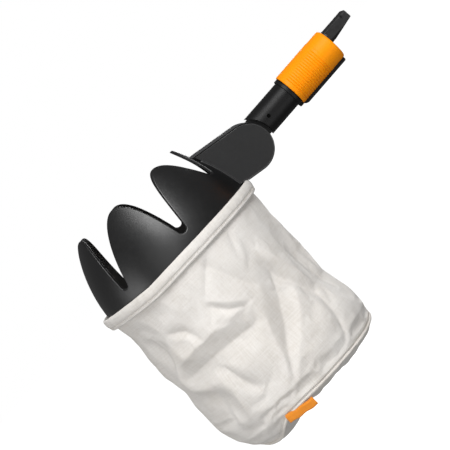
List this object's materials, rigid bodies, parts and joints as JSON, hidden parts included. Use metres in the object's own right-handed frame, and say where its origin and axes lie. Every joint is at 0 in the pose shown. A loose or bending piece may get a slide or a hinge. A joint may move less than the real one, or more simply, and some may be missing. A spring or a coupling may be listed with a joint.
{
  "type": "fruit picker head",
  "caption": "Pole-mounted fruit picker head: a ring of petal fingers over a canvas bag, tilting on a friction hinge, with a sprung locking sleeve on its pole coupling.",
  "frame": {"origin": "on the axis of the coupling spigot's round root, in the plane of the locking sleeve's mouth", "axes": "+X along the pole away from the head, +Z the side the picking ring opens to, +Y across the mirror plane"},
  "size_m": [0.3401, 0.1724, 0.2412],
  "materials": {
    "ring_plastic": "satin black moulded plastic",
    "cover_plastic": "fine textured black plastic",
    "tube_plastic": "satin black glass-filled plastic",
    "washer_plastic": "dark grey plastic",
    "orange_plastic": "satin orange moulded plastic",
    "orange_tab": "woven orange tab, plain",
    "canvas": "off-white plain weave canvas",
    "canvas_tape": "off-white binding",
    "elastic": "braided elastic",
    "steel": "zinc plated",
    "bush_brass": "plain turned"
  },
  "bodies": {
    "coupling": {"tube_body": "tube_plastic", "stop_collar": "tube_plastic", "guide_rib": "tube_plastic", "coupling_spigot": "tube_plastic", "spigot_screws": "steel", "hinge_knuckle": "tube_plastic", "knuckle_pin": "tube_plastic", "pivot_bush": "bush_brass", "friction_washers": "washer_plastic"},
    "sleeve": {"lock_sleeve": "orange_plastic", "catch_ring": "washer_plastic", "sleeve_spring": "steel"},
    "head": {"picker_ring": "ring_plastic", "hinge_bracket": "ring_plastic", "cheek_cover_front": "cover_plastic", "cheek_cover_rear": "cover_plastic", "pivot_bolt": "steel", "spring_washer": "steel", "flat_washer": "steel", "pivot_nut": "steel", "pivot_sleeve": "steel", "bag_body": "canvas", "bag_bottom": "canvas", "bag_hem": "canvas", "hem_elastic": "elastic", "bottom_piping": "canvas_tape", "side_seam_tape": "canvas_tape", "label_tab": "orange_tab"}
  },
  "joints": [
    {"name": "head_tilt", "type": "hinge", "parent": "coupling", "child": "head", "pos_m": [-0.1132, 0, -0.0117], "axis": [0, 1, 0], "range_deg": [-90, 15]},
    {"name": "sleeve_slide", "type": "slide", "parent": "coupling", "child": "sleeve", "axis": [-1, 0, 0], "range_m": [0, 0.008], "stiffness_N_per_m": 900, "springref_m": -0.004, "deforming": ["sleeve_spring"]}
  ]
}
